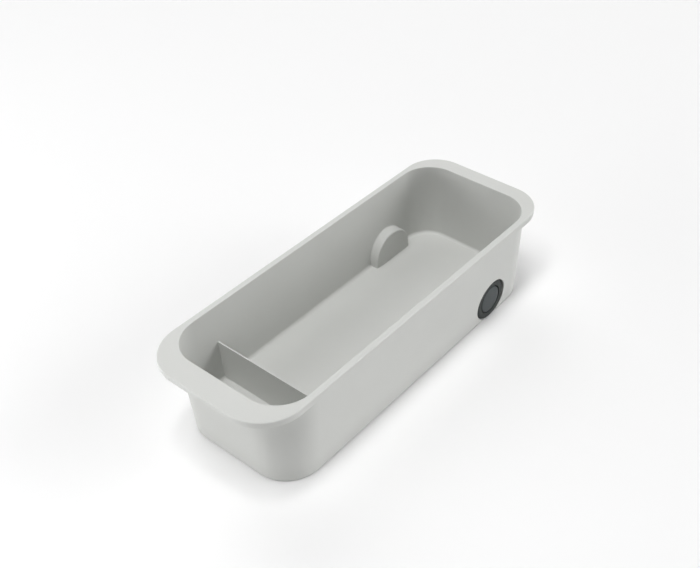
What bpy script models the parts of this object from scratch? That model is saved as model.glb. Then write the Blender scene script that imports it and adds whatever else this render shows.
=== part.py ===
"""Pull-out cupboard caddy: a double-walled moulded tub on two rear wheels and two front pads.

Lengths are in metres. +Z is up, +Y is the rear, where the wheels are, and -Y the front, where the
wide lip and the small pocket are. The origin is on the floor under the middle of the whole box.
"""

import math
from collections import namedtuple

import bmesh
import bpy
from mathutils import Matrix

# Overall sizes of the tub
tub_width = 0.180
opening_length = 0.436
front_lip_width = 0.028
rear_lip_width = 0.020
rim_width = 0.0072
front_wall_offset = 0.0056
rear_wall_offset = 0.0060
rim_height = 0.1152
ground_clearance = 0.0008

# Corners of the three outlines, seen from above. The opening's are tighter than the body's by a
# spread, and the body's own tighten from the rim down to the foot.
body_front_radius = 0.0524
body_rear_radius = 0.0550
front_corner_spread = 0.01145
rear_corner_spread = 0.01605
front_foot_tightening = 0.0094
rear_foot_tightening = 0.0123
lip_front_radius = 0.049
lip_rear_radius = 0.043
corner_steps = 12

# Walls, floor and edges of the tub
outer_draft = math.radians(3.5)
inner_draft = math.radians(3.7)
inner_rear_draft = math.radians(5.9)
wall_skin = 0.0020
floor_skin = 0.0024
rim_skin = 0.0030
floor_height = 0.0192
floor_fillet = 0.004
rim_inner_round = 0.0010
rim_outer_round = 0.0014
skirt_round = 0.0010
round_steps = 3

# Lips at the two ends
lip_depth = 0.0068
lip_side_step = 0.00015
lip_under_round = 0.0006
lip_under_round_share = 0.03
channel_root = 0.0012
channel_rib_thickness = 0.0016
channel_rib_pitch = 0.030
channel_ribs = 5

# Cross divider that makes the front pocket
pocket_length = 0.068
divider_drop = 0.0453
divider_top_thickness = 0.0016
divider_draft = math.radians(0.6)
divider_fillet = 0.0012

# Stiffening ribs under the floor and between the two walls
rib_thickness = 0.0016
rib_recess = 0.0022
cross_ribs = 9
long_ribs = 3
wall_rib_height = 0.070

# Wheels
wheel_radius = 0.0267
wheel_width = 0.014
axle_to_rear = 0.1053
wheel_face_setback = 0.0062
wheel_turn_steps = 48

# Housings round the wheels
window_clearance = 0.0006
window_round = 0.0005
well_clearance = 0.0025
well_back_clearance = 0.0015
well_relief = 0.0003
housing_skin = 0.0022
housing_round = 0.0020
arch_steps = 20

# Axle boss, screw and washer
boss_radius = 0.0050
boss_root_radius = 0.0080
boss_turn_steps = 24
screw_radius = 0.00175
screw_head_radius = 0.0038
screw_head_height = 0.0018
screw_tip_gap = 0.0009
screw_hole_bottom = 0.0012
washer_radius = 0.0070
washer_thickness = 0.0010
screw_turn_steps = 24

# Hub
hub_tube_wall = 0.0030
hub_web_thickness = 0.0020
hub_web_setback = 0.0035
hub_rim_radius = 0.0207
hub_rim_wall = 0.0028
hub_ridge_height = 0.0012
hub_ridge_width = 0.0020
hub_rib_thickness = 0.0014
hub_ribs = 6

# Tyre
tyre_face_inner_radius = 0.0182
tyre_flange = 0.0019
tyre_bevel_radius = 0.0236
tyre_bevel_drop = 0.0009
tyre_shoulder = 0.0012
tyre_crown = 0.0002

# Hub cap
cap_radius = 0.0171
cap_thickness = 0.0013
cap_dome = 0.0003
cap_round = 0.0005
cap_ring_length = 0.0030
cap_ring_wall = 0.0012
cap_dome_steps = 4

# Front pads
pad_radius = 0.0090
pad_edge_round = 0.0006
pad_stem_radius = 0.0035
pad_stem_length = 0.0080
pad_boss_wall = 0.0030
pad_boss_height = 0.0030
pad_turn_steps = 32

# Fits and cutting
seat_gap = 0.0003
cut_overrun = 0.0020

# Worked out from the sizes above
total_length = opening_length + front_lip_width + rear_lip_width
opening_front = front_lip_width - total_length / 2
opening_rear = total_length / 2 - rear_lip_width
opening_middle = (opening_front + opening_rear) / 2
opening_front_radius = body_front_radius - front_corner_spread
opening_rear_radius = body_rear_radius - rear_corner_spread
skirt_bottom = ground_clearance
floor_bottom = floor_height - floor_skin
lip_bottom = rim_height - lip_depth
cavity_top = rim_height - rim_skin
divider_top = rim_height - divider_drop
divider_y = opening_front + pocket_length
rib_bottom = skirt_bottom + rib_recess
axle_y = total_length / 2 - axle_to_rear
axle_z = wheel_radius
wheel_outer_x = tub_width / 2 - wheel_face_setback
wheel_inner_x = wheel_outer_x - wheel_width
well_back_x = wheel_inner_x - well_back_clearance
housing_back_x = well_back_x - housing_skin
window_radius = wheel_radius + window_clearance
well_radius = wheel_radius + well_clearance
housing_radius = well_radius + housing_skin
floor_half_width = tub_width / 2 - rim_width - (rim_height - floor_height) * math.tan(inner_draft)
long_rib_pitch = 2 * floor_half_width / (long_ribs + 1)
pad_x = floor_half_width - long_rib_pitch / 2
cross_rib_pitch = opening_length / (cross_ribs + 1)
pad_y = opening_front + cross_rib_pitch / 2
half_turn = math.pi
quarter_turn = math.pi / 2
full_turn = 2 * math.pi
smooth_angle = math.radians(35)

# Places along the axle, from the wheel's inner face outwards
boss_flange_end = seat_gap
hub_start = boss_flange_end + seat_gap
cap_back = wheel_width - cap_thickness - cap_dome
screw_head_end = cap_back - seat_gap
screw_head_start = screw_head_end - screw_head_height
washer_end = screw_head_start - seat_gap
washer_start = washer_end - washer_thickness
boss_end = washer_start - seat_gap
hub_bore_radius = boss_radius + seat_gap
hub_tube_radius = hub_bore_radius + hub_tube_wall
hub_rim_inner_radius = hub_rim_radius - hub_rim_wall
hub_rim_end = wheel_width - tyre_flange - seat_gap
web_start = hub_start + hub_web_setback
web_end = web_start + hub_web_thickness
screw_hole_radius = screw_radius + seat_gap
screw_tip = screw_hole_bottom + screw_tip_gap

Outline = namedtuple("Outline", "half_width front rear front_radius rear_radius")

opening_outline = Outline(tub_width / 2 - rim_width, opening_front, opening_rear,
                          opening_front_radius, opening_rear_radius)
body_outline = Outline(tub_width / 2 - lip_side_step, opening_front - front_wall_offset,
                       opening_rear + rear_wall_offset, body_front_radius, body_rear_radius)
lip_outline = Outline(tub_width / 2, -total_length / 2, total_length / 2,
                      lip_front_radius, lip_rear_radius)


def clear_scene():
    """Remove whatever the file holds, so that the model is built from nothing."""
    for old in list(bpy.data.objects):
        bpy.data.objects.remove(old, do_unlink=True)


def principled(name, colour, roughness, metallic):
    """One plain material."""
    material = bpy.data.materials.new(name)
    material.use_nodes = True
    shader = material.node_tree.nodes["Principled BSDF"]
    shader.inputs["Base Color"].default_value = (*colour, 1.0)
    shader.inputs["Roughness"].default_value = roughness
    shader.inputs["Metallic"].default_value = metallic
    return material


def place(name, mesh, material=None, parent=None):
    """Link an object that shows this mesh."""
    piece = bpy.data.objects.new(name, mesh)
    bpy.context.scene.collection.objects.link(piece)
    if material and not mesh.materials:
        mesh.materials.append(material)
    piece.parent = parent
    return piece


def tool(name, mesh):
    """A shape that only cuts or joins."""
    shape = place(name, mesh)
    shape.hide_render = True
    shape.display_type = "WIRE"
    return shape


def boolean(target, shape, operation):
    """Add one exact Boolean step to an object."""
    step = target.modifiers.new(shape.name, "BOOLEAN")
    step.operation = operation
    step.solver = "EXACT"
    step.object = shape


def finish_mesh(name, bm):
    """Turn a bmesh into a smooth-shaded mesh whose faces point out."""
    bmesh.ops.recalc_face_normals(bm, faces=bm.faces)
    mesh = bpy.data.meshes.new(name)
    bm.to_mesh(mesh)
    bm.free()
    mesh.shade_smooth()
    mesh.set_sharp_from_angle(angle=smooth_angle)
    return mesh


def loft(name, rings):
    """Skin rings of equal count, and cap the first and the last."""
    bm = bmesh.new()
    loops = [[bm.verts.new(point) for point in points] for points in rings]
    for low, high in zip(loops, loops[1:]):
        count = len(low)
        for i in range(count):
            j = (i + 1) % count
            bm.faces.new((low[i], low[j], high[j], high[i]))
    bm.faces.new(loops[0])
    bm.faces.new(loops[-1])
    return finish_mesh(name, bm)


def turned(name, profile, steps):
    """Turn a closed profile of (along the axle, radius) about X; radius zero is a pole."""
    bm = bmesh.new()
    solid = profile[0][1] == 0
    path = profile[1:-1] if solid else profile
    rings = []
    for along, radius in path:
        ring = []
        for i in range(steps):
            angle = full_turn * i / steps
            ring.append(bm.verts.new((along, radius * math.cos(angle), radius * math.sin(angle))))
        rings.append(ring)
    pairs = list(zip(rings, rings[1:]))
    if not solid:
        pairs.append((rings[-1], rings[0]))
    for first, second in pairs:
        for i in range(steps):
            j = (i + 1) % steps
            bm.faces.new((first[i], first[j], second[j], second[i]))
    if solid:
        for ring, pole in ((rings[0], profile[0]), (rings[-1], profile[-1])):
            centre = bm.verts.new((pole[0], 0, 0))
            for i in range(steps):
                bm.faces.new((ring[i], ring[(i + 1) % steps], centre))
    return finish_mesh(name, bm)


def boxes(name, corners):
    """Separate boxes in one mesh, each from its lowest and highest corner."""
    bm = bmesh.new()
    for low, high in corners:
        middle = [(a + b) / 2 for a, b in zip(low, high)]
        size = [b - a for a, b in zip(low, high)]
        matrix = Matrix.Translation(middle) @ Matrix.Diagonal((*size, 1.0))
        bmesh.ops.create_cube(bm, size=1.0, matrix=matrix)
    return finish_mesh(name, bm)


def grow(outline, distance):
    """The same outline, moved out by a distance on every side."""
    return Outline(outline.half_width + distance, outline.front - distance,
                   outline.rear + distance, outline.front_radius + distance,
                   outline.rear_radius + distance)


def ring(outline, height):
    """Points of a rounded rectangle, anticlockwise from above, with equal counts in each corner."""
    side = outline.half_width
    front_y = outline.front + outline.front_radius
    rear_y = outline.rear - outline.rear_radius
    corners = (
        (side - outline.front_radius, front_y, outline.front_radius, -quarter_turn),
        (side - outline.rear_radius, rear_y, outline.rear_radius, 0),
        (outline.rear_radius - side, rear_y, outline.rear_radius, quarter_turn),
        (outline.front_radius - side, front_y, outline.front_radius, half_turn),
    )
    points = []
    for x, y, radius, start in corners:
        for i in range(corner_steps + 1):
            angle = start + quarter_turn * i / corner_steps
            points.append((x + radius * math.cos(angle), y + radius * math.sin(angle), height))
    return points


def between(first, second, share, height):
    """A ring part of the way from one ring to another, at its own height."""
    points = []
    for a, b in zip(first, second):
        points.append((a[0] + (b[0] - a[0]) * share, a[1] + (b[1] - a[1]) * share, height))
    return points


def inner_at(height):
    """The inside face of the inner wall at a height; the rear of it leans more than the rest."""
    drop = rim_height - height
    inset = drop * math.tan(inner_draft)
    narrow = grow(opening_outline, -inset)
    return narrow._replace(rear=opening_outline.rear - drop * math.tan(inner_rear_draft))


def outer_at(height):
    """The outside face of the outer wall at a height."""
    drop = rim_height - height
    narrow = grow(body_outline, -drop * math.tan(outer_draft))
    share = drop / rim_height
    return narrow._replace(front_radius=body_front_radius - share * front_foot_tightening,
                           rear_radius=body_rear_radius - share * rear_foot_tightening)


def lip_at(height):
    """The outside edge of the lips at a height, full size just under the rim's rounded edge."""
    widest = rim_height - rim_outer_round
    return grow(lip_outline, (height - widest) * math.tan(outer_draft))


def quarter_round(radius):
    """Pairs of distances still to go and gone, round a quarter circle."""
    steps = []
    for i in range(round_steps + 1):
        angle = quarter_turn * i / round_steps
        steps.append((radius * (1 - math.sin(angle)), radius * (1 - math.cos(angle))))
    return steps


def tub_rings():
    """The tub as one solid run of rings: floor, inner wall, rim, lips, outer wall, foot."""
    rings = []
    for inset, rise in quarter_round(floor_fillet):
        height = floor_height + rise
        rings.append(ring(grow(inner_at(height), -inset), height))
    for drop, across in quarter_round(rim_inner_round):
        height = rim_height - drop
        rings.append(ring(grow(inner_at(height), across), height))
    for inset, drop in quarter_round(rim_outer_round):
        height = rim_height - drop
        rings.append(ring(grow(lip_at(height), -inset), height))
    lip_edge = ring(lip_at(lip_bottom), lip_bottom)
    wall_top = ring(outer_at(lip_bottom), lip_bottom)
    rings.append(ring(lip_at(lip_bottom + lip_under_round), lip_bottom + lip_under_round))
    rings.append(between(lip_edge, wall_top, lip_under_round_share, lip_bottom))
    rings.append(wall_top)
    for rise, inset in quarter_round(skirt_round):
        height = skirt_bottom + rise
        rings.append(ring(grow(outer_at(height), -inset), height))
    return rings


def wall_cavity():
    """The hollow under the floor and up between the walls; it closes where the walls run together."""
    low, high = skirt_bottom - cut_overrun, cavity_top
    outside = [ring(grow(outer_at(z), -wall_skin), z) for z in (low, high)]
    cavity = tool("cavity", loft("cavity", outside))
    inside = []
    for rise, inset in quarter_round(floor_fillet + wall_skin)[::-1]:
        height = floor_bottom + rise
        inside.append(ring(grow(inner_at(height), wall_skin - inset), height))
    overrun = high + cut_overrun
    inside.append(ring(grow(inner_at(overrun), wall_skin), overrun))
    boolean(cavity, tool("cavity_core", loft("cavity_core", inside)), "DIFFERENCE")
    return cavity


def arch(radius, x, bottom):
    """A round-topped arch about the axle, standing in a plane across X."""
    points = [(x, axle_y - radius, bottom)]
    for i in range(arch_steps + 1):
        angle = half_turn - half_turn * i / arch_steps
        points.append((x, axle_y + radius * math.cos(angle), axle_z + radius * math.sin(angle)))
    points.append((x, axle_y + radius, bottom))
    return points


def lean(points, depth):
    """The same points, each moved along X to a depth behind the leaning outer wall."""
    return [(outer_at(z).half_width - depth, y, z) for x, y, z in points]


def on_side(rings, side):
    """The same rings on the right (1) or mirrored to the left (-1)."""
    return [[(side * x, y, z) for x, y, z in points] for points in rings]


def rack(count, pitch, middle=0):
    """Evenly spaced places about a middle."""
    return [middle + pitch * (i - (count - 1) / 2) for i in range(count)]


def wheel_housing(side):
    """The arched block that closes a wheel off from the inside of the tub."""
    rings = []
    for across, inset in quarter_round(housing_round):
        rings.append(arch(housing_radius - across, housing_back_x + inset, rib_bottom))
    rings.append(lean(arch(housing_radius, housing_back_x, rib_bottom), wall_skin / 2))
    return loft("housing", on_side(rings, side))


def wheel_well(side):
    """The arched pocket that the wheel turns in, open below."""
    back = arch(well_radius, well_back_x, skirt_bottom - cut_overrun)
    return loft("well", on_side([back, lean(back, wall_skin - well_relief)], side))


def on_axle(mesh, side):
    """Move a shape turned about X to the wheel's place on the right (1) or left (-1)."""
    facing = Matrix.Rotation(0 if side > 0 else half_turn, 4, "Z")
    mesh.transform(Matrix.Translation((side * wheel_inner_x, axle_y, axle_z)) @ facing)
    return mesh


def circle(radius):
    """A circle about the axle, standing in a plane across X."""
    angles = [full_turn * i / wheel_turn_steps for i in range(wheel_turn_steps)]
    return [(0, axle_y + radius * math.cos(a), axle_z + radius * math.sin(a)) for a in angles]


def wheel_windows():
    """The two round windows that the wheels' faces show through, their outer edges rounded over."""
    rings = [lean(circle(window_radius), wall_skin + cut_overrun)]
    for depth, out in quarter_round(window_round):
        rings.append(lean(circle(window_radius + out), depth))
    rings.append(lean(circle(window_radius + window_round), -cut_overrun))
    bm = bmesh.new()
    for side in (1, -1):
        bm.from_mesh(loft("window", on_side(rings, side)))
    return finish_mesh("windows", bm)


def axle_boss(side):
    """The hollow stub that the hub turns on, with a thrust collar at its root."""
    root = -well_back_clearance - housing_skin / 2
    profile = [(root, 0), (root, boss_root_radius), (boss_flange_end, boss_root_radius),
               (boss_flange_end, boss_radius), (boss_end, boss_radius),
               (boss_end, screw_hole_radius), (screw_hole_bottom, screw_hole_radius),
               (screw_hole_bottom, 0)]
    return on_axle(turned("boss", profile, boss_turn_steps), side)


def divider_plan(height, half_thickness):
    """The divider's section at a height, flared by a fillet where it meets each wall."""
    wall_x = inner_at(height).half_width
    end = [(wall_x - back, half_thickness + out) for back, out in quarter_round(divider_fillet)]
    end.append((wall_x + wall_skin / 2, half_thickness + divider_fillet))
    back_again = end[::-1]
    plan = end + [(x, -y) for x, y in back_again]
    plan += [(-x, -y) for x, y in end] + [(-x, y) for x, y in back_again]
    return [(x, divider_y + y, height) for x, y in plan]


def divider_wall():
    """The low wall across the front: fillets at its foot, a slight taper, a round top edge."""
    edge = divider_top_thickness / 2
    levels = [(floor_height - floor_skin / 2, divider_fillet)]
    for rise, out in quarter_round(divider_fillet)[::-1]:
        levels.append((floor_height + rise, out))
    for drop, inset in quarter_round(edge)[:-1]:
        levels.append((divider_top - drop, -inset))
    rings = []
    for height, out in levels:
        taper = (divider_top - height) * math.tan(divider_draft)
        rings.append(divider_plan(height, edge + taper + out))
    return loft("divider", rings)


def inside_outer_wall():
    """A solid that fills the tub out to the middle of the outer wall's skin."""
    low = skirt_bottom - cut_overrun
    return loft("outer", [ring(grow(outer_at(z), -wall_skin / 2), z) for z in (low, rim_height)])


def inside_inner_wall():
    """A solid that fills the tub out to the middle of the inner wall's skin and the floor's."""
    rings = []
    for rise, inset in quarter_round(floor_fillet + wall_skin / 2)[::-1]:
        height = floor_height - floor_skin / 2 + rise
        rings.append(ring(grow(inner_at(height), wall_skin / 2 - inset), height))
    rings.append(ring(grow(inner_at(rim_height), wall_skin / 2), rim_height))
    return loft("inner", rings)


def rib_plates(name, corners):
    """Rib plates trimmed to the space between the two walls and under the floor."""
    plates = tool(name, boxes(name, corners))
    boolean(plates, tool(name + "_outer", inside_outer_wall()), "INTERSECT")
    boolean(plates, tool(name + "_inner", inside_inner_wall()), "DIFFERENCE")
    return plates


def lip_channel():
    """The hollow under both lips, left with a skin all round and a few ribs across it."""
    low, high = lip_bottom - cut_overrun, cavity_top
    edge = [ring(grow(lip_at(z), -wall_skin), z) for z in (low, high)]
    channel = tool("channel", loft("channel", edge))
    overrun = high + cut_overrun
    root = [ring(grow(outer_at(z), channel_root), z) for z in (low - cut_overrun, overrun)]
    boolean(channel, tool("channel_root", loft("channel_root", root)), "DIFFERENCE")
    half = channel_rib_thickness / 2
    reach = total_length / 2 + cut_overrun
    bars = [((x - half, -reach, low - cut_overrun), (x + half, reach, overrun))
            for x in rack(channel_ribs, channel_rib_pitch)]
    boolean(channel, tool("channel_ribs", boxes("channel_ribs", bars)), "DIFFERENCE")
    return channel


def pad_bosses():
    """Two round posts under the floor with a socket for the pads' stems."""
    bosses = []
    for side in (1, -1):
        profile = [(pad_boss_height, pad_stem_radius + seat_gap),
                   (pad_boss_height, pad_stem_radius + seat_gap + pad_boss_wall),
                   (floor_bottom + floor_skin / 2, pad_stem_radius + seat_gap + pad_boss_wall),
                   (floor_bottom + floor_skin / 2, pad_stem_radius + seat_gap)]
        mesh = turned("pad_boss", profile, pad_turn_steps)
        mesh.transform(pad_matrix(side))
        bosses.append(mesh)
    return bosses


def pad_matrix(side):
    """Stand a shape turned about X on end at a pad's place."""
    upright = Matrix.Rotation(-quarter_turn, 4, "Y")
    return Matrix.Translation((side * pad_x, pad_y, 0)) @ upright


def make_tub(material):
    """The moulding: double wall, divider, ribs, housings, bosses and the hollows in it."""
    tub = place("tub", loft("tub", tub_rings()), material)
    boolean(tub, wall_cavity(), "DIFFERENCE")
    divider = tool("divider_tool", divider_wall())
    boolean(divider, tool("divider_trim", inside_inner_wall()), "INTERSECT")
    boolean(tub, divider, "UNION")
    half = rib_thickness / 2
    wide, long = tub_width / 2, total_length / 2
    across = [((-wide, y - half, rib_bottom), (wide, y + half, wall_rib_height))
              for y in rack(cross_ribs, cross_rib_pitch, opening_middle)]
    along = [((x - half, -long, rib_bottom), (x + half, long, floor_height))
             for x in rack(long_ribs, long_rib_pitch)]
    boolean(tub, rib_plates("cross_rib_tool", across), "UNION")
    boolean(tub, rib_plates("long_rib_tool", along), "UNION")
    boolean(tub, lip_channel(), "DIFFERENCE")
    for mesh in pad_bosses():
        boolean(tub, tool("pad_boss_tool", mesh), "UNION")
    for side in (1, -1):
        boolean(tub, tool("housing_tool", wheel_housing(side)), "UNION")
        boolean(tub, tool("well_tool", wheel_well(side)), "DIFFERENCE")
        boolean(tub, tool("boss_tool", axle_boss(side)), "UNION")
    boolean(tub, tool("window_tool", wheel_windows()), "DIFFERENCE")


def hub_mesh():
    """Spool: a tube on the boss, a web, and a rim with a ridge that grips the tyre."""
    ridge_middle = (hub_start + hub_rim_end) / 2
    ridge_start = ridge_middle - hub_ridge_width / 2
    ridge_end = ridge_middle + hub_ridge_width / 2
    ridge_radius = hub_rim_radius + hub_ridge_height
    profile = [
        (hub_start, hub_bore_radius), (hub_start, hub_tube_radius),
        (web_start, hub_tube_radius), (web_start, hub_rim_inner_radius),
        (hub_start, hub_rim_inner_radius), (hub_start, hub_rim_radius),
        (ridge_start, hub_rim_radius), (ridge_start, ridge_radius),
        (ridge_end, ridge_radius), (ridge_end, hub_rim_radius),
        (hub_rim_end, hub_rim_radius), (hub_rim_end, hub_rim_inner_radius),
        (web_end, hub_rim_inner_radius), (web_end, hub_tube_radius),
        (boss_end, hub_tube_radius), (boss_end, hub_bore_radius),
    ]
    return turned("wheel_hub", profile, wheel_turn_steps)


def hub_rib_mesh():
    """Radial ribs on the back of the web, in one mesh of separate plates."""
    half = hub_rib_thickness / 2
    inner = hub_bore_radius + hub_tube_wall / 2
    outer = hub_rim_inner_radius + hub_rim_wall / 2
    bm = bmesh.new()
    for i in range(hub_ribs):
        low = (hub_start + seat_gap, -half, inner)
        high = ((web_start + web_end) / 2, half, outer)
        middle = [(a + b) / 2 for a, b in zip(low, high)]
        size = [b - a for a, b in zip(low, high)]
        turn = Matrix.Rotation(full_turn * i / hub_ribs, 4, "X")
        matrix = turn @ Matrix.Translation(middle) @ Matrix.Diagonal((*size, 1.0))
        bmesh.ops.create_cube(bm, size=1.0, matrix=matrix)
    return finish_mesh("hub_ribs", bm)


def tyre_mesh():
    """Soft ring: grooved inside for the hub's ridge, with a flange over the rim and a bevelled face."""
    bore = hub_rim_radius + seat_gap
    groove = bore + hub_ridge_height
    middle = (hub_start + hub_rim_end) / 2
    groove_start = middle - hub_ridge_width / 2 - seat_gap
    groove_end = middle + hub_ridge_width / 2 + seat_gap
    flange_back = wheel_width - tyre_flange
    tread_start = hub_start + tyre_shoulder
    tread_end = wheel_width - tyre_bevel_drop - tyre_shoulder
    profile = [
        (hub_start, bore), (groove_start, bore), (groove_start, groove),
        (groove_end, groove), (groove_end, bore), (flange_back, bore),
        (flange_back, tyre_face_inner_radius), (wheel_width, tyre_face_inner_radius),
        (wheel_width, tyre_bevel_radius),
        (wheel_width - tyre_bevel_drop, wheel_radius - tyre_shoulder),
        (tread_end, wheel_radius - tyre_crown), ((tread_start + tread_end) / 2, wheel_radius),
        (tread_start, wheel_radius - tyre_crown), (hub_start, wheel_radius - tyre_shoulder),
    ]
    return turned("tyre", profile, wheel_turn_steps)


def cap_mesh():
    """Flat disc with a barely domed face and a ring behind it that presses into the hub."""
    face = wheel_width - cap_dome
    ring_outer = hub_rim_inner_radius - seat_gap
    ring_inner = ring_outer - cap_ring_wall
    profile = [(wheel_width, 0)]
    for i in range(1, cap_dome_steps + 1):
        share = i / cap_dome_steps
        profile.append((wheel_width - cap_dome * share ** 2, (cap_radius - cap_round) * share))
    profile += [
        (face - cap_round, cap_radius), (cap_back, cap_radius), (cap_back, ring_outer),
        (cap_back - cap_ring_length, ring_outer), (cap_back - cap_ring_length, ring_inner),
        (cap_back, ring_inner), (cap_back, 0),
    ]
    return turned("hub_cap", profile, wheel_turn_steps)


def washer_mesh():
    """Plain steel washer."""
    profile = [(washer_start, screw_hole_radius), (washer_start, washer_radius),
               (washer_end, washer_radius), (washer_end, screw_hole_radius)]
    return turned("axle_washer", profile, screw_turn_steps)


def screw_mesh():
    """Pan-head screw down the middle of the boss."""
    crown = screw_head_end - screw_head_height / 2
    profile = [(screw_head_end, 0), (screw_head_end, screw_head_radius / 2),
               (crown, screw_head_radius), (screw_head_start, screw_head_radius),
               (screw_head_start, screw_radius), (screw_tip, screw_radius), (screw_tip, 0)]
    return turned("axle_screw", profile, screw_turn_steps)


def make_wheels(hub_plastic, cap_plastic, rubber, steel):
    """Two wheels, each on an empty on its axle line; +X of the empty points outwards."""
    hub, tyre, cap = hub_mesh(), tyre_mesh(), cap_mesh()
    washer, screw, ribs = washer_mesh(), screw_mesh(), hub_rib_mesh()
    for name, side in (("right", 1), ("left", -1)):
        axle = bpy.data.objects.new("axle_" + name, None)
        bpy.context.scene.collection.objects.link(axle)
        axle.location = (side * wheel_inner_x, axle_y, axle_z)
        axle.rotation_euler = (0, 0, 0 if side > 0 else half_turn)
        wheel_hub = place("wheel_hub_" + name, hub, hub_plastic, axle)
        rib_tool = tool("hub_rib_tool_" + name, ribs)
        rib_tool.parent = axle
        boolean(wheel_hub, rib_tool, "UNION")
        place("tyre_" + name, tyre, rubber, axle)
        place("hub_cap_" + name, cap, cap_plastic, axle)
        place("axle_washer_" + name, washer, steel, axle)
        place("axle_screw_" + name, screw, steel, axle)


def make_pads(rubber):
    """Two round pads, each with a stem that pushes up into its socket."""
    disc_top = pad_boss_height - seat_gap
    profile = [(0, 0), (0, pad_radius - pad_edge_round), (pad_edge_round, pad_radius),
               (disc_top, pad_radius), (disc_top, pad_stem_radius),
               (disc_top + pad_stem_length, pad_stem_radius), (disc_top + pad_stem_length, 0)]
    mesh = turned("front_pad", profile, pad_turn_steps)
    for name, side in (("right", 1), ("left", -1)):
        pad = place("front_pad_" + name, mesh, rubber)
        pad.matrix_world = pad_matrix(side)


clear_scene()
make_tub(principled("tub_plastic", (0.66, 0.66, 0.64), 0.55, 0.0))
make_wheels(principled("hub_plastic", (0.10, 0.11, 0.11), 0.45, 0.0),
            principled("cap_plastic", (0.09, 0.10, 0.10), 0.45, 0.0),
            principled("tyre_rubber", (0.08, 0.085, 0.085), 0.75, 0.0),
            principled("plated_steel", (0.62, 0.62, 0.62), 0.35, 1.0))
make_pads(principled("pad_rubber", (0.08, 0.085, 0.085), 0.80, 0.0))
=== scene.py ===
import math
from collections import namedtuple

import bmesh
import bpy
from mathutils import Matrix, Vector


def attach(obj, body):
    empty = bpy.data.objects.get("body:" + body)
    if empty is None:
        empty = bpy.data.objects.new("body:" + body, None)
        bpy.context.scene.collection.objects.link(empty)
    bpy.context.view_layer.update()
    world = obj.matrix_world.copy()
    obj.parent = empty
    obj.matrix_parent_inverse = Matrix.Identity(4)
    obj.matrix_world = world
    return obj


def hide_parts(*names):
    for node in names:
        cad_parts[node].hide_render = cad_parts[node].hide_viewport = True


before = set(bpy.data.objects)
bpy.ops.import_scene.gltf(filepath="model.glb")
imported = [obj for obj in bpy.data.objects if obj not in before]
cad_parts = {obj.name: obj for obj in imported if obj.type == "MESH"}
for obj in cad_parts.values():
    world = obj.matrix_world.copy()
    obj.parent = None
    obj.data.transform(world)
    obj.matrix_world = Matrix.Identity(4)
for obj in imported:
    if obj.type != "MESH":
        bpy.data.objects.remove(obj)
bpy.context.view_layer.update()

# The tub: one injection moulding in light warm grey polypropylene with a fine matt grain. Its
# double walls lean with the mould's draft, so the outer skirt, the inner tub, the two lips, the
# divider, the wheel housings and the ribs below all leave the mould as one piece.
mm = 0.001
quarter_turn = math.pi / 2
half_turn = math.pi
full_turn = 2 * math.pi

tub_width = 180 * mm
tub_length = 484 * mm
rim_height = 115.2 * mm
front_lip = 28 * mm
rear_lip = 20 * mm
rim_width = 7.2 * mm
front_wall_offset = 5.6 * mm
rear_wall_offset = 6.0 * mm
skirt_bottom = 0.8 * mm
skin = 2.0 * mm
floor_skin = 2.4 * mm
rim_skin = 3.0 * mm
floor_height = 19.2 * mm
floor_fillet = 4 * mm
outer_lean = math.tan(math.radians(3.5))
inner_lean = math.tan(math.radians(3.7))
inner_rear_lean = math.tan(math.radians(5.9))
front_foot_tightening = 9.4 * mm
rear_foot_tightening = 12.3 * mm
rim_inner_round = 0.8 * mm
rim_outer_round = 1.4 * mm
skirt_round = 1.6 * mm
side_step = 0.15 * mm
opening_front_radius = 40.95 * mm
opening_rear_radius = 38.95 * mm
skirt_front_radius = 52.4 * mm
skirt_rear_radius = 55.0 * mm
lip_front_radius = 49 * mm
lip_rear_radius = 43 * mm
lip_depth = 8.6 * mm
lip_lean = math.tan(math.radians(10))
lip_under_round = 0.6 * mm
lip_under_share = 0.03
corner_steps = 24
round_steps = 6
crease_degrees = 35
cut_overrun = 2 * mm

front_y = front_lip - tub_length / 2
rear_y = tub_length / 2 - rear_lip
floor_bottom = floor_height - floor_skin
lip_bottom = rim_height - lip_depth
cavity_top = rim_height - rim_skin

Outline = namedtuple("Outline", "half_width front rear front_radius rear_radius")
opening = Outline(tub_width / 2 - rim_width, front_y, rear_y,
                  opening_front_radius, opening_rear_radius)
skirt = Outline(tub_width / 2 - side_step, front_y - front_wall_offset,
                rear_y + rear_wall_offset, skirt_front_radius, skirt_rear_radius)
lip = Outline(tub_width / 2, -tub_length / 2, tub_length / 2, lip_front_radius, lip_rear_radius)


def grow(outline, distance):
    """The same outline, moved out by a distance on every side."""
    return Outline(outline.half_width + distance, outline.front - distance, outline.rear + distance,
                   outline.front_radius + distance, outline.rear_radius + distance)


def inner_at(z):
    """The inside of the inner wall at a height; its rear leans more than the rest."""
    drop = rim_height - z
    return grow(opening, -drop * inner_lean)._replace(rear=opening.rear - drop * inner_rear_lean)


def outer_at(z):
    """The outside of the outer wall at a height; its corners tighten towards the foot."""
    share = (rim_height - z) / rim_height
    return grow(skirt, (z - rim_height) * outer_lean)._replace(
        front_radius=skirt.front_radius - share * front_foot_tightening,
        rear_radius=skirt.rear_radius - share * rear_foot_tightening)


def lip_at(z):
    """The outside edge of the lips at a height; it leans in more at the two ends."""
    rise = min(z - rim_height + rim_outer_round, 0)
    outline = grow(lip, rise * outer_lean)
    more = rise * (lip_lean - outer_lean)
    return outline._replace(front=outline.front - more, rear=outline.rear + more,
                            front_radius=outline.front_radius + more,
                            rear_radius=outline.rear_radius + more)


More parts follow.
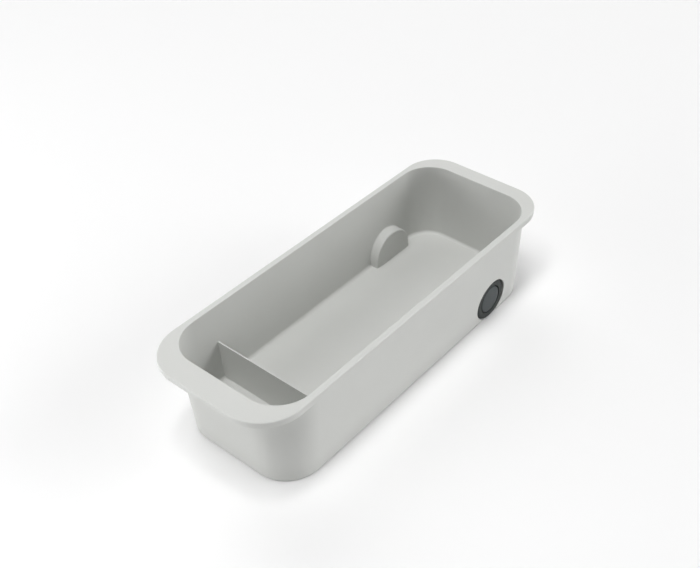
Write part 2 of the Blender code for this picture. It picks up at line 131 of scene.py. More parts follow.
def ring(outline, z):
    """Points of a rounded rectangle, anticlockwise from above."""
    side = outline.half_width
    corners = (
        (side, outline.front, 1, -1, outline.front_radius, -quarter_turn),
        (side, outline.rear, 1, 1, outline.rear_radius, 0),
        (-side, outline.rear, -1, 1, outline.rear_radius, quarter_turn),
        (-side, outline.front, -1, -1, outline.front_radius, half_turn),
    )
    points = []
    for x, y, x_sign, y_sign, radius, start in corners:
        for i in range(corner_steps + 1):
            angle = start + quarter_turn * i / corner_steps
            points.append((x - x_sign * radius + radius * math.cos(angle),
                           y - y_sign * radius + radius * math.sin(angle), z))
    return points


def between(first, second, share, z):
    """A ring part of the way from one ring to another."""
    return [(a[0] + (b[0] - a[0]) * share, a[1] + (b[1] - a[1]) * share, z)
            for a, b in zip(first, second)]


def quarter_round(radius):
    """Pairs of distances still to go along one side and gone along the other, round a corner."""
    angles = [quarter_turn * i / round_steps for i in range(round_steps + 1)]
    return [(radius * (1 - math.sin(a)), radius * (1 - math.cos(a))) for a in angles]


def finished(name, bm):
    """The mesh of a bmesh, with its faces turned outwards."""
    bmesh.ops.recalc_face_normals(bm, faces=bm.faces)
    mesh = bpy.data.meshes.new(name)
    bm.to_mesh(mesh)
    bm.free()
    return mesh


def loft(name, rings):
    """A closed mesh skinned over rings of equal count, capped at both ends."""
    bm = bmesh.new()
    loops = [[bm.verts.new(point) for point in points] for points in rings]
    for low, high in zip(loops, loops[1:]):
        for i in range(len(low)):
            j = (i + 1) % len(low)
            bm.faces.new((low[i], low[j], high[j], high[i]))
    bm.faces.new(loops[0])
    bm.faces.new(loops[-1])
    return finished(name, bm)


def turned(name, profile, steps):
    """A closed mesh turned about X from (along, radius); one that starts at radius 0 is solid."""
    bm = bmesh.new()
    solid = profile[0][1] == 0
    rings = []
    for along, radius in profile[1:-1] if solid else profile:
        angles = [full_turn * i / steps for i in range(steps)]
        rings.append([bm.verts.new((along, radius * math.cos(a), radius * math.sin(a)))
                      for a in angles])
    pairs = list(zip(rings, rings[1:]))
    if not solid:
        pairs.append((rings[-1], rings[0]))
    for first, second in pairs:
        for i in range(steps):
            j = (i + 1) % steps
            bm.faces.new((first[i], first[j], second[j], second[i]))
    if solid:
        for loop, pole in ((rings[0], profile[0]), (rings[-1], profile[-1])):
            centre = bm.verts.new((pole[0], 0, 0))
            for i in range(steps):
                bm.faces.new((loop[i], loop[(i + 1) % steps], centre))
    return finished(name, bm)


def plates(name, corners, turn=Matrix()):
    """Flat plates in one mesh, each from its lowest and highest corner."""
    bm = bmesh.new()
    for low, high in corners:
        middle = [(a + b) / 2 for a, b in zip(low, high)]
        size = [b - a for a, b in zip(low, high)]
        matrix = turn @ Matrix.Translation(middle) @ Matrix.Diagonal((*size, 1.0))
        bmesh.ops.create_cube(bm, size=1.0, matrix=matrix)
    return finished(name, bm)


def joined(name, meshes):
    """Several meshes that don't touch, as one."""
    bm = bmesh.new()
    for mesh in meshes:
        bm.from_mesh(mesh)
    return finished(name, bm)


def show(name, mesh):
    """An object that shows a mesh."""
    piece = bpy.data.objects.new(name, mesh)
    bpy.context.scene.collection.objects.link(piece)
    return piece


def settle(piece):
    """Turn an object's modifiers into its mesh."""
    graph = bpy.context.evaluated_depsgraph_get()
    mesh = bpy.data.meshes.new_from_object(piece.evaluated_get(graph))
    piece.modifiers.clear()
    piece.data = mesh


def work_on(target, mesh, operation):
    """Join, cut or trim an object by a mesh, with an exact Boolean step."""
    shape = show("shape", mesh)
    step = target.modifiers.new(operation, "BOOLEAN")
    step.operation = operation
    step.solver = "EXACT"
    step.object = shape
    settle(target)
    bpy.data.objects.remove(shape)


def smooth(piece, degrees=crease_degrees):
    """Shade a piece smooth between its sharp edges, with the large flat faces kept flat."""
    piece.data.shade_smooth()
    piece.data.set_sharp_from_angle(angle=math.radians(degrees))
    step = piece.modifiers.new("flat_faces", "WEIGHTED_NORMAL")
    step.keep_sharp = True
    settle(piece)


def tub_rings():
    """Floor, inner wall, rim, lips and outer wall down to the foot."""
    rings = []
    for inset, rise in quarter_round(floor_fillet):
        z = floor_height + rise
        rings.append(ring(grow(inner_at(z), -inset), z))
    for drop, across in quarter_round(rim_inner_round):
        z = rim_height - drop
        rings.append(ring(grow(inner_at(z), across), z))
    for inset, drop in quarter_round(rim_outer_round):
        z = rim_height - drop
        rings.append(ring(grow(lip_at(z), -inset), z))
    edge = ring(lip_at(lip_bottom), lip_bottom)
    wall_top = ring(outer_at(lip_bottom), lip_bottom)
    rings.append(ring(lip_at(lip_bottom + lip_under_round), lip_bottom + lip_under_round))
    rings.append(between(edge, wall_top, lip_under_share, lip_bottom))
    rings.append(wall_top)
    for rise, inset in quarter_round(skirt_round):
        z = skirt_bottom + rise
        rings.append(ring(grow(outer_at(z), -inset), z))
    return rings


tub = show("tub_moulding", loft("tub_moulding", tub_rings()))

# The hollow under the floor and up between the walls, which run together at the upper corners.
levels = (skirt_bottom - cut_overrun, cavity_top)
cavity = show("cavity", loft("cavity", [ring(grow(outer_at(z), -skin), z) for z in levels]))
core = []
for rise, inset in quarter_round(floor_fillet + skin)[::-1]:
    core.append(ring(grow(inner_at(floor_bottom + rise), skin - inset), floor_bottom + rise))
core.append(ring(grow(inner_at(cavity_top + cut_overrun), skin), cavity_top + cut_overrun))
work_on(cavity, loft("core", core), "DIFFERENCE")
work_on(tub, cavity.data, "DIFFERENCE")
bpy.data.objects.remove(cavity)

# The low divider that closes off the front pocket: a thin plate that tapers upwards, with
# fillets at its foot and ends and a flat top whose edges are eased.
divider_y = front_y + 68 * mm
divider_top = rim_height - 45.3 * mm
divider_half = 0.8 * mm
divider_edge = 0.25 * mm
divider_lean = math.tan(math.radians(0.6))
divider_fillet = 1.2 * mm


def divider_plan(z, half_thickness):
    """The divider's section at a height, flared where it meets each wall."""
    wall_x = inner_at(z).half_width
    end = [(wall_x - back, half_thickness + out) for back, out in quarter_round(divider_fillet)]
    end.append((wall_x + skin / 2, half_thickness + divider_fillet))
    plan = end + [(x, -y) for x, y in end[::-1]]
    plan += [(-x, -y) for x, y in end] + [(-x, y) for x, y in end[::-1]]
    return [(x, divider_y + y, z) for x, y in plan]


def within_inner_wall():
    """A solid out to the middle of the inner wall and of the floor."""
    rings = []
    for rise, inset in quarter_round(floor_fillet + skin / 2)[::-1]:
        z = floor_height - floor_skin / 2 + rise
        rings.append(ring(grow(inner_at(z), skin / 2 - inset), z))
    rings.append(ring(grow(inner_at(rim_height), skin / 2), rim_height))
    return loft("inner", rings)


def within_outer_wall():
    """A solid out to the middle of the outer wall."""
    levels = (skirt_bottom - cut_overrun, rim_height)
    return loft("outer", [ring(grow(outer_at(z), -skin / 2), z) for z in levels])


flare = [(floor_height - floor_skin / 2, divider_fillet)]
flare += [(floor_height + rise, out) for rise, out in quarter_round(divider_fillet)[::-1]]
flare += [(divider_top - drop, -inset) for drop, inset in quarter_round(divider_edge)]
divider = show("divider", loft("divider", [
    divider_plan(z, divider_half + (divider_top - z) * divider_lean + out) for z, out in flare]))
work_on(divider, within_inner_wall(), "INTERSECT")
work_on(tub, divider.data, "UNION")
bpy.data.objects.remove(divider)

# Ribs under the floor and between the two walls, moulded with the tub to stiffen it: nine run
# across and three along. They end above the skirt's lower edge, so none shows from outside.
rib_half = 0.8 * mm
rib_lift = 2.2 * mm
rib_bottom = skirt_bottom + rib_lift
wall_rib_top = 70 * mm
ribs_each_way = 4
floor_half_width = inner_at(floor_height).half_width
across_pitch = (rear_y - front_y) / (2 * ribs_each_way + 2)
along_pitch = floor_half_width / 2

across = []
for i in range(-ribs_each_way, ribs_each_way + 1):
    y = (front_y + rear_y) / 2 + i * across_pitch
    across.append(((-tub_width / 2, y - rib_half, rib_bottom),
                   (tub_width / 2, y + rib_half, wall_rib_top)))
along = []
for x in (-along_pitch, 0, along_pitch):
    along.append(((x - rib_half, -tub_length / 2, rib_bottom),
                  (x + rib_half, tub_length / 2, floor_height)))
for corners in (across, along):
    ribs = show("ribs", plates("ribs", corners))
    work_on(ribs, within_outer_wall(), "INTERSECT")
    work_on(ribs, within_inner_wall(), "DIFFERENCE")
    work_on(tub, ribs.data, "UNION")
    bpy.data.objects.remove(ribs)

# Both lips are cored out from below, because a thick edge would sink as the plastic cools. Five
# short ribs are left standing in each channel to stiffen it.
channel_root = 1.2 * mm
channel_rib_pitch = 30 * mm
channel_ribs_each_way = 2
levels = (lip_bottom - cut_overrun, cavity_top)
channel = show("channel", loft("channel", [ring(grow(lip_at(z), -skin), z) for z in levels]))
low = levels[0] - cut_overrun
high = cavity_top + cut_overrun
root = [ring(grow(outer_at(z), channel_root), z) for z in (low, high)]
work_on(channel, loft("root", root), "DIFFERENCE")
bars = []
for i in range(-channel_ribs_each_way, channel_ribs_each_way + 1):
    x = i * channel_rib_pitch
    bars.append(((x - rib_half, -tub_length, low), (x + rib_half, tub_length, high)))
work_on(channel, plates("bars", bars), "DIFFERENCE")
work_on(tub, channel.data, "DIFFERENCE")
bpy.data.objects.remove(channel)

# Sockets under the floor for the stems of the two front pads: short moulded tubes, each in the
# middle of a front corner's bay between ribs and walls, open below to take the stem.
pad_x = floor_half_width - along_pitch / 2
pad_y = front_y + across_pitch / 2
pad_steps = 64
socket_radius = 3.8 * mm
socket_wall = 3.0 * mm
socket_bottom = 3.0 * mm
socket_top = floor_bottom + floor_skin / 2


def upright(side):
    """Stand a shape turned about X on end, at the right (1) or left (-1) pad's place."""
    return Matrix.Translation((side * pad_x, pad_y, 0)) @ Matrix.Rotation(-quarter_turn, 4, "Y")


for side in (1, -1):
    socket = turned("socket", [
        (socket_bottom, socket_radius), (socket_bottom, socket_radius + socket_wall),
        (socket_top, socket_radius + socket_wall), (socket_top, socket_radius)], pad_steps)
    socket.transform(upright(side))
    work_on(tub, socket, "UNION")

# Wheel housings: an arched box inside, an open well below, a boss for the axle screw, and a round
# window in each side wall that the wheel's face shows through.
wheel_radius = 26.7 * mm
wheel_width = 14 * mm
wheel_steps = 96
axle_from_rear = 105.3 * mm
wheel_inset = 6.2 * mm
axle_y = tub_length / 2 - axle_from_rear
axle_z = wheel_radius
wheel_inner_x = tub_width / 2 - wheel_inset - wheel_width
well_back = 1.5 * mm
well_back_x = wheel_inner_x - well_back
well_radius = wheel_radius + 2.5 * mm
well_relief = 0.3 * mm
housing_skin = 2.2 * mm
housing_back_x = well_back_x - housing_skin
housing_radius = well_radius + housing_skin
housing_round = 2.0 * mm
housing_fillet = 1.5 * mm
window_radius = wheel_radius + 0.6 * mm
window_round = 0.5 * mm
boss_end = 8.7 * mm
boss_radius = 5.0 * mm
boss_root_radius = 8.0 * mm
boss_step = 0.3 * mm
screw_hole_radius = 2.05 * mm
screw_hole_bottom = 1.2 * mm


def arch(radius, x, bottom):
    """A round-topped arch about the axle, standing in a plane across X."""
    steps = wheel_steps // 2
    points = [(x, axle_y - radius, bottom)]
    for i in range(steps + 1):
        angle = half_turn - half_turn * i / steps
        points.append((x, axle_y + radius * math.cos(angle), axle_z + radius * math.sin(angle)))
    points.append((x, axle_y + radius, bottom))
    return points


def circle(radius):
    """A circle about the axle."""
    angles = [full_turn * i / wheel_steps for i in range(wheel_steps)]
    return [(0, axle_y + radius * math.cos(a), axle_z + radius * math.sin(a)) for a in angles]


def lean(points, wall_at, depth):
    """The same points, each moved along X to a depth behind a leaning wall."""
    return [(wall_at(z).half_width - depth, y, z) for x, y, z in points]


def mirrored(rings, side):
    """The same rings on the right (1) or on the left (-1)."""
    return [[(side * x, y, z) for x, y, z in points] for points in rings]


def on_axle(mesh, side):
    """Move a shape turned about X to the wheel's place on the right (1) or left (-1)."""
    facing = Matrix.Rotation(0 if side > 0 else half_turn, 4, "Z")
    mesh.transform(Matrix.Translation((side * wheel_inner_x, axle_y, axle_z)) @ facing)
    return mesh


housing = []
for less, inset in quarter_round(housing_round):
    housing.append(arch(housing_radius - less, housing_back_x + inset, rib_bottom))
for back, out in quarter_round(housing_fillet):
    housing.append(lean(arch(housing_radius + out, 0, rib_bottom), inner_at, back))
housing.append(lean(arch(housing_radius + housing_fillet, 0, rib_bottom), inner_at, -skin / 2))
housing.append(lean(arch(housing_radius, 0, rib_bottom), outer_at, skin / 2))
well = [arch(well_radius, well_back_x, skirt_bottom - cut_overrun)]
well.append(lean(well[0], outer_at, skin - well_relief))
boss = [
    (-well_back - housing_skin / 2, 0), (-well_back - housing_skin / 2, boss_root_radius),
    (boss_step, boss_root_radius), (boss_step, boss_radius), (boss_end, boss_radius),
    (boss_end, screw_hole_radius), (screw_hole_bottom, screw_hole_radius), (screw_hole_bottom, 0)]
for side in (1, -1):
    work_on(tub, loft("housing", mirrored(housing, side)), "UNION")
    work_on(tub, loft("well", mirrored(well, side)), "DIFFERENCE")
    work_on(tub, on_axle(turned("boss", boss, wheel_steps), side), "UNION")

window = [lean(circle(window_radius), outer_at, skin + cut_overrun)]
for depth, out in quarter_round(window_round):
    window.append(lean(circle(window_radius + out), outer_at, depth))
window.append(lean(circle(window_radius + window_round), outer_at, -cut_overrun))
windows = joined("windows", [loft("window", mirrored(window, side)) for side in (1, -1)])
work_on(tub, windows, "DIFFERENCE")
smooth(tub)


def linear(code):
    """A colour written as sRGB hex, such as C8C8C4, as the linear colour that a shader takes."""
    colour = []
    for i in (0, 2, 4):
        c = int(code[i:i + 2], 16) / 255
        colour.append(c / 12.92 if c <= 0.04045 else ((c + 0.055) / 1.055) ** 2.4)
    return (*colour, 1.0)


def add_node(material, kind, inputs, **settings):
    """Add one node; inputs maps a socket's name or place to a value or to another node's output."""
    node = material.node_tree.nodes.new(kind)
    for name, value in settings.items():
        setattr(node, name, value)
    for socket, value in inputs.items():
        if isinstance(value, bpy.types.NodeSocket):
            material.node_tree.links.new(value, node.inputs[socket])
        else:
            node.inputs[socket].default_value = value
    return node


def new_material(name):
    """An empty node material, and the shader that feeds its surface."""
    material = bpy.data.materials.new(name)
    material.use_nodes = True
    return material, material.node_tree.nodes["Principled BSDF"]


def dress(piece, material):
    """Give the whole piece one material."""
    piece.data.materials.clear()
    piece.data.materials.append(material)


# Polypropylene moulded in a spark-eroded tool: light scatters evenly, with a soft, broad shine.
# The real grain is near 0.15 mm; it is drawn at 0.5 mm so that a close view still shows it.
# The melt's flow leaves faint clouds of tone and gloss, some centimetres wide.
tub_light = "CBCCC9"
tub_dark = "C8C9C6"
tub_smooth = 0.52
tub_rough = 0.58
tub_grain = 0.5 * mm
grain_depth = 0.02 * mm
grain_strength = 0.25
tub_flow = 70 * mm
flow_low = 0.3
flow_high = 0.7
polypropylene_ior = 1.49

polypropylene, shader = new_material("moulded_matt_polypropylene")
place = add_node(polypropylene, "ShaderNodeTexCoord", {}).outputs["Object"]
grain = add_node(polypropylene, "ShaderNodeTexNoise",
                 {"Vector": place, "Scale": 1 / tub_grain, "Detail": 2.0, "Roughness": 0.6})
flow = add_node(polypropylene, "ShaderNodeTexNoise",
                {"Vector": place, "Scale": 1 / tub_flow, "Detail": 3.0, "Roughness": 0.5})
tone = add_node(polypropylene, "ShaderNodeValToRGB", {"Fac": flow.outputs["Fac"]})
stops = ((flow_low, tub_dark), (flow_high, tub_light))
for element, (position, colour) in zip(tone.color_ramp.elements, stops):
    element.position = position
    element.color = linear(colour)
gloss = add_node(polypropylene, "ShaderNodeMapRange",
                 {"Value": flow.outputs["Fac"], "From Min": flow_low, "From Max": flow_high,
                  "To Min": tub_smooth, "To Max": tub_rough})
bump = add_node(polypropylene, "ShaderNodeBump",
                {"Height": grain.outputs["Fac"], "Strength": grain_strength,
                 "Distance": grain_depth})
links = polypropylene.node_tree.links
links.new(tone.outputs["Color"], shader.inputs["Base Color"])
links.new(gloss.outputs["Result"], shader.inputs["Roughness"])
links.new(bump.outputs["Normal"], shader.inputs["Normal"])
shader.inputs["IOR"].default_value = polypropylene_ior

dress(tub, polypropylene)
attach(tub, "tub")
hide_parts("tub")

# Axle screws and washers: zinc-plated steel, driven into the bosses to hold the wheels on.
# They sit under the hub caps, so the solids that the frame carries keep their shape.
# Bright zinc plating mirrors softly, and its crystals shift the gloss from spot to spot. They are
# microscopic in truth, and drawn at 0.8 mm so that a close view shows them.
zinc_colour = "C9CBCC"
zinc_smooth = 0.22
zinc_rough = 0.40
crystal_size = 0.8 * mm

zinc, shader = new_material("bright_zinc_plated_steel")
place = add_node(zinc, "ShaderNodeTexCoord", {}).outputs["Object"]
crystals = add_node(zinc, "ShaderNodeTexNoise",
                    {"Vector": place, "Scale": 1 / crystal_size, "Detail": 3.0})
gloss = add_node(zinc, "ShaderNodeMapRange",
                 {"Value": crystals.outputs["Fac"], "To Min": zinc_smooth, "To Max": zinc_rough})
zinc.node_tree.links.new(gloss.outputs["Result"], shader.inputs["Roughness"])
shader.inputs["Base Color"].default_value = linear(zinc_colour)
shader.inputs["Metallic"].default_value = 1.0
for name in ("axle_washer_left", "axle_washer_right", "axle_screw_left", "axle_screw_right"):
    dress(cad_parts[name], zinc)

# Wheel hubs: spools moulded in dark grey nylon, ribbed behind, each turning on its boss.
# The raised ridge round the middle of the rim keys into the tyre.
hub_start = 0.6 * mm
hub_rim_end = 11.8 * mm
hub_rim_radius = 20.7 * mm
hub_rim_inner = 17.9 * mm
hub_tube = 8.3 * mm
hub_bore = 5.3 * mm
hub_edge = 0.3 * mm
hub_rib_half = 0.7 * mm
web_start = 4.1 * mm
web_end = 6.1 * mm
ridge_height = 1.2 * mm
ridge_half = 1.0 * mm
ridge_middle = (hub_start + hub_rim_end) / 2
hub_rib_pairs = 3
hub_corner_steps = 3
soft_steps = 4


def soften(profile, steps=soft_steps):
    """Round the corners of a profile of (along, radius, corner radius)."""
    points = []
    for i, (along, radius, rounding) in enumerate(profile):
        corner = Vector((along, radius))
        if rounding == 0:
            points.append((along, radius))
            continue
        before = (Vector(profile[i - 1][:2]) - corner).normalized()
        after = (Vector(profile[(i + 1) % len(profile)][:2]) - corner).normalized()
        half_angle = before.angle(after) / 2
        centre = corner + (before + after).normalized() * rounding / math.sin(half_angle)
        start = corner + before * rounding / math.tan(half_angle) - centre
        end = corner + after * rounding / math.tan(half_angle) - centre
        turn = start.angle_signed(end)
        for k in range(steps + 1):
            arm = Matrix.Rotation(-turn * k / steps, 2) @ start
            points.append(tuple(centre + arm))
    return points


def put_on_wheel(piece, side, body, node):
    """Set a piece on its wheel's axle, let it turn with the wheel and stand for its CAD node."""
    piece.location = (side * wheel_inner_x, axle_y, axle_z)
    piece.rotation_euler = (0, 0, 0 if side > 0 else half_turn)
    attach(piece, body)
    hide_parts(node)


def dark_moulding(name, colour, roughness, ior, grain_size, noise, strength, depth):
    """A dark moulded finish: one colour and gloss, with a fine grain drawn as relief."""
    material, shader = new_material(name)
    place = add_node(material, "ShaderNodeTexCoord", {}).outputs["Object"]
    grain = add_node(material, "ShaderNodeTexNoise",
                     {"Vector": place, "Scale": 1 / grain_size, **noise})
    bump = add_node(material, "ShaderNodeBump",
                    {"Height": grain.outputs["Fac"], "Strength": strength, "Distance": depth})
    material.node_tree.links.new(bump.outputs["Normal"], shader.inputs["Normal"])
    shader.inputs["Base Color"].default_value = linear(colour)
    shader.inputs["Roughness"].default_value = roughness
    shader.inputs["IOR"].default_value = ior
    return material


# Nylon straight from the tool: dark and half matt, with the tub's fine grain, drawn as coarse.
nylon = dark_moulding("moulded_dark_grey_nylon", "262929", roughness=0.5, ior=1.53,
                      grain_size=tub_grain, noise={"Detail": 2.0},
                      strength=grain_strength, depth=grain_depth)

for name, side in (("right", 1), ("left", -1)):
    profile = soften([
        (hub_start, hub_bore, 0), (hub_start, hub_tube, hub_edge),
        (web_start, hub_tube, hub_edge), (web_start, hub_rim_inner, hub_edge),
        (hub_start, hub_rim_inner, hub_edge), (hub_start, hub_rim_radius, hub_edge),
        (ridge_middle - ridge_half, hub_rim_radius, 0),
        (ridge_middle - ridge_half, hub_rim_radius + ridge_height, hub_edge),
        (ridge_middle + ridge_half, hub_rim_radius + ridge_height, hub_edge),
        (ridge_middle + ridge_half, hub_rim_radius, 0),
        (hub_rim_end, hub_rim_radius, hub_edge), (hub_rim_end, hub_rim_inner, 0),
        (web_end, hub_rim_inner, hub_edge), (web_end, hub_tube, hub_edge),
        (boss_end, hub_tube, hub_edge), (boss_end, hub_bore, 0),
    ], hub_corner_steps)
    hub = show("hub_" + name, turned("hub", profile, wheel_steps))
    plate = ((hub_start + hub_edge, -hub_rib_half, (hub_bore + hub_tube) / 2),
             ((web_start + web_end) / 2, hub_rib_half, (hub_rim_inner + hub_rim_radius) / 2))
    for i in range(hub_rib_pairs):
        turn = Matrix.Rotation(half_turn * i / hub_rib_pairs, 4, "X")
        opposite = turn @ Matrix.Rotation(half_turn, 4, "X")
        pair = [plates("rib", [plate], way) for way in (turn, opposite)]
        work_on(hub, joined("ribs", pair), "UNION")
    smooth(hub)
    dress(hub, nylon)
    put_on_wheel(hub, side, "wheel_" + name, "wheel_hub_" + name)

# Tyres: soft dark grey thermoplastic rubber moulded as a ring and stretched over the hub's ridge.
# The bevelled face and the flange over the hub's rim are what shows in the round window.
tyre_gap = 0.3 * mm
tyre_bore = hub_rim_radius + tyre_gap
tyre_groove = tyre_bore + ridge_height
groove_half = ridge_half + tyre_gap
flange_back = wheel_width - 1.9 * mm
flange_radius = 18.2 * mm
bevel_radius = 23.6 * mm
bevel_drop = 0.9 * mm
shoulder = 1.0 * mm
back_shoulder = 1.4 * mm
tread_taper = 1.3 * mm
crown = 0.2 * mm
bore_round = 0.3 * mm
flange_round = 0.2 * mm
tread_round = 0.5 * mm
bevel_round = 0.8 * mm
tyre_crease_degrees = 50

# The rubber is left dull by its moulding: it takes light softly and mirrors next to nothing.
# Its grain, near 0.1 mm in truth, is drawn at 0.4 mm so that a close view still shows it.
rubber_grain = 0.4 * mm
elastomer = dark_moulding("matt_thermoplastic_rubber", "202523", roughness=0.72, ior=1.5,
                          grain_size=rubber_grain, noise={"Detail": 3.0, "Roughness": 0.7},
                          strength=0.35, depth=0.03 * mm)

for name, side in (("right", 1), ("left", -1)):
    profile = soften([
        (hub_start, tyre_bore, bore_round), (ridge_middle - groove_half, tyre_bore, 0),
        (ridge_middle - groove_half, tyre_groove, 0), (ridge_middle + groove_half, tyre_groove, 0),
        (ridge_middle + groove_half, tyre_bore, 0), (flange_back, tyre_bore, 0),
        (flange_back, flange_radius, flange_round), (wheel_width, flange_radius, tread_round),
        (wheel_width, bevel_radius, bevel_round),
        (wheel_width - bevel_drop, wheel_radius - shoulder, bevel_round),
        (wheel_width - bevel_drop - tread_taper, wheel_radius - crown, tread_round),
        ((hub_start + wheel_width) / 2, wheel_radius, 0),
        (hub_start + back_shoulder, wheel_radius - crown, tread_round),
        (hub_start, wheel_radius - back_shoulder, tread_round),
    ])
    tyre = show("tyre_ring_" + name, turned("tyre", profile, wheel_steps))
    smooth(tyre, tyre_crease_degrees)
    dress(tyre, elastomer)
    put_on_wheel(tyre, side, "wheel_" + name, "tyre_" + name)

# Hub caps: dark grey ABS discs with a barely domed satin face, pressed into the hub's rim.
# They hide the screw and the washer and leave the thin dark groove inside the tyre. A neck behind
# the face keeps the groove deep, and the collar on the neck grips the hub's rim.
cap_radius = 16.9 * mm
cap_dome = 0.3 * mm
cap_dome_steps = 8
cap_back = 12.6 * mm
cap_round = 0.5 * mm
cap_edge_drop = 0.1 * mm
cap_edge_round = 0.3 * mm
cap_neck = 14.9 * mm
cap_neck_inner = 13.7 * mm
cap_collar_gap = 0.3 * mm
cap_collar = hub_rim_inner - cap_collar_gap
cap_collar_front = 10.2 * mm
cap_collar_back = 9.4 * mm

# ABS from a finely etched tool: a touch smoother and cooler than the rubber round it. Its etching,
# near 0.1 mm in truth, is drawn as coarse as the rubber's grain.
abs_plastic = dark_moulding("satin_moulded_abs", "242C2E", roughness=0.5, ior=1.54,
                            grain_size=rubber_grain, noise={"Detail": 2.0},
                            strength=0.2, depth=grain_depth)

for name, side in (("right", 1), ("left", -1)):
    face = [(wheel_width, 0, 0)]
    for i in range(1, cap_dome_steps + 1):
        share = i / cap_dome_steps
        face.append((wheel_width - cap_dome * share ** 2, (cap_radius - cap_round) * share, 0))
    profile = soften(face + [
        (wheel_width - cap_dome - cap_edge_drop, cap_radius, cap_edge_round),
        (cap_back, cap_radius, 0), (cap_back, cap_neck, 0),
        (cap_collar_front, cap_neck, 0), (cap_collar_front, cap_collar, 0),
        (cap_collar_back, cap_collar, 0), (cap_collar_back, cap_neck_inner, 0),
        (cap_back, cap_neck_inner, 0), (cap_back, 0, 0),
    ])
    cap = show("cap_" + name, turned("cap", profile, wheel_steps))
    smooth(cap)
    dress(cap, abs_plastic)
    put_on_wheel(cap, side, "wheel_" + name, "hub_cap_" + name)

# Front pads: round feet in soft grey rubber, each pushed by its stem into a socket under the floor.
# They hold the front end level with the wheels and stop the tub sliding.
pad_radius = 9.0 * mm
pad_top = 2.7 * mm
pad_edge = 0.6 * mm
pad_round = 0.5 * mm
pad_top_round = 0.3 * mm
stem_radius = 3.5 * mm
stem_top = 10.7 * mm
stem_round = 0.5 * mm

# The same dull rubber as the tyres, left as it comes from its mould.
pad_rubber = elastomer.copy()
pad_rubber.name = "soft_grey_foot_rubber"

for name, side in (("right", 1), ("left", -1)):
    profile = soften([
        (0, 0, 0), (0, pad_radius - pad_edge, pad_round), (pad_edge, pad_radius, pad_round),
        (pad_top, pad_radius, pad_top_round), (pad_top, stem_radius, pad_top_round),
        (stem_top, stem_radius, stem_round), (stem_top, 0, 0),
    ])
    pad = show("foot_" + name, turned("foot", profile, pad_steps))
    smooth(pad)
    dress(pad, pad_rubber)
    pad.matrix_world = upright(side)
    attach(pad, "tub")
    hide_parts("front_pad_" + name)

# The stage: a plain white paper floor that keeps the soft shadow, under wide soft studio lamps.
# What the camera, a shiny face or a clear one sees of floor and backdrop is lifted to white.
scene = bpy.context.scene
scene.view_settings.view_transform = "Standard"
backdrop_white = linear("F9F9F9")
paper_white = linear("E7E7E7")
paper_lift = 0.13
paper_half = 6
paper_gap = 0.05 * mm


def seen(material):
    """One where the camera, a mirrored ray or a ray through something clear looks, else nothing."""
    path = add_node(material, "ShaderNodeLightPath", {})
    total = path.outputs["Is Camera Ray"]
    for ray in ("Is Glossy Ray", "Is Transmission Ray"):
        total = add_node(material, "ShaderNodeMath", {0: total, 1: path.outputs[ray]},
                         operation="MAXIMUM").outputs[0]
    return total


paper = bpy.data.materials.new("white_paper")
paper.use_nodes = True
paper.node_tree.nodes.clear()
matt = add_node(paper, "ShaderNodeBsdfDiffuse", {"Color": paper_white})
glow = add_node(paper, "ShaderNodeMath", {0: seen(paper), 1: paper_lift}, operation="MULTIPLY")
lift = add_node(paper, "ShaderNodeEmission", {"Strength": glow.outputs[0]})
both = add_node(paper, "ShaderNodeAddShader", {0: matt.outputs[0], 1: lift.outputs[0]})
add_node(paper, "ShaderNodeOutputMaterial", {"Surface": both.outputs[0]})

bm = bmesh.new()
bmesh.ops.create_grid(bm, x_segments=1, y_segments=1, size=paper_half)
floor = show("floor", finished("floor", bm))
floor.location = (0, 0, -paper_gap)
dress(floor, paper)

world = bpy.data.worlds.new("studio")
scene.world = world
world.use_nodes = True
background = world.node_tree.nodes["Background"]
background.inputs["Color"].default_value = backdrop_white
world.node_tree.links.new(seen(world), background.inputs["Strength"])


def aim(lamp_object, towards):
    """Turn a lamp so that it shines from a direction."""
    lamp_object.rotation_euler = towards.to_track_quat("Z", "Y").to_euler()


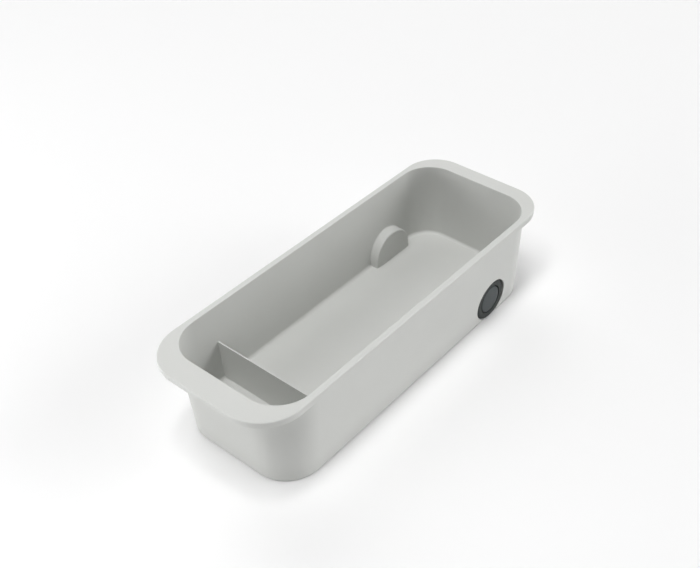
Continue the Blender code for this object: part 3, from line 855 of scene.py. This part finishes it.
# Wide lamps far off. Each has its place round the tub, counted from the rear over the right side,
# its height above the floor and its spread, all in degrees, and its strength.
far_lamps = (
    ("above", 0, 90, 10, 0.552),
    ("front_high", 180, 75, 20, 1.118),
    ("front", 180, 60, 10, 0.399),
    ("left", 300, 40, 40, 0.838),
    ("rear_right_low", 45, 15, 40, 1.411),
    ("right_low", 67, 20, 40, 0.61),
)
for name, azimuth, elevation, spread, power in far_lamps:
    lamp = bpy.data.lights.new(name, "SUN")
    lamp.energy = power
    lamp.angle = math.radians(spread)
    lamp_object = bpy.data.objects.new(name, lamp)
    scene.collection.objects.link(lamp_object)
    a, e = math.radians(azimuth), math.radians(elevation)
    aim(lamp_object, Vector((math.sin(a) * math.cos(e), math.cos(a) * math.cos(e), math.sin(e))))

# A long soft box stands low in front of the tub, to its left: its light fades towards the rear.
box_azimuth = math.radians(211)
box_distance = 1.4
box_height = 0.25
box_length = 1.2
box_depth = 0.4
box_power = 9.2
lamp = bpy.data.lights.new("soft_box", "AREA")
lamp.shape = "RECTANGLE"
lamp.size = box_length
lamp.size_y = box_depth
lamp.energy = box_power
soft_box = bpy.data.objects.new("soft_box", lamp)
soft_box.visible_camera = False
scene.collection.objects.link(soft_box)
soft_box.location = (box_distance * math.sin(box_azimuth),
                     box_distance * math.cos(box_azimuth), box_height)
aim(soft_box, soft_box.location - Vector((0, 0, rim_height / 2)))

# The camera stands in front of the tub and to its right, well above it, with a long lens.
camera_place = Vector((0.5753, -0.6465, 0.8085))
camera_back = Vector((0.4768, -0.6068, 0.6360)).normalized()
camera_across = Vector((0, 0, 1)).cross(camera_back).normalized()
camera_up = camera_back.cross(camera_across)
camera_data = bpy.data.cameras.new("camera")
camera_data.sensor_width = 36
camera_data.lens = 51.69
camera_data.shift_x = -0.0847
camera = bpy.data.objects.new("camera", camera_data)
scene.collection.objects.link(camera)
facing = Matrix((camera_across, camera_up, camera_back)).transposed().to_4x4()
camera.matrix_world = Matrix.Translation(camera_place) @ facing
scene.camera = camera
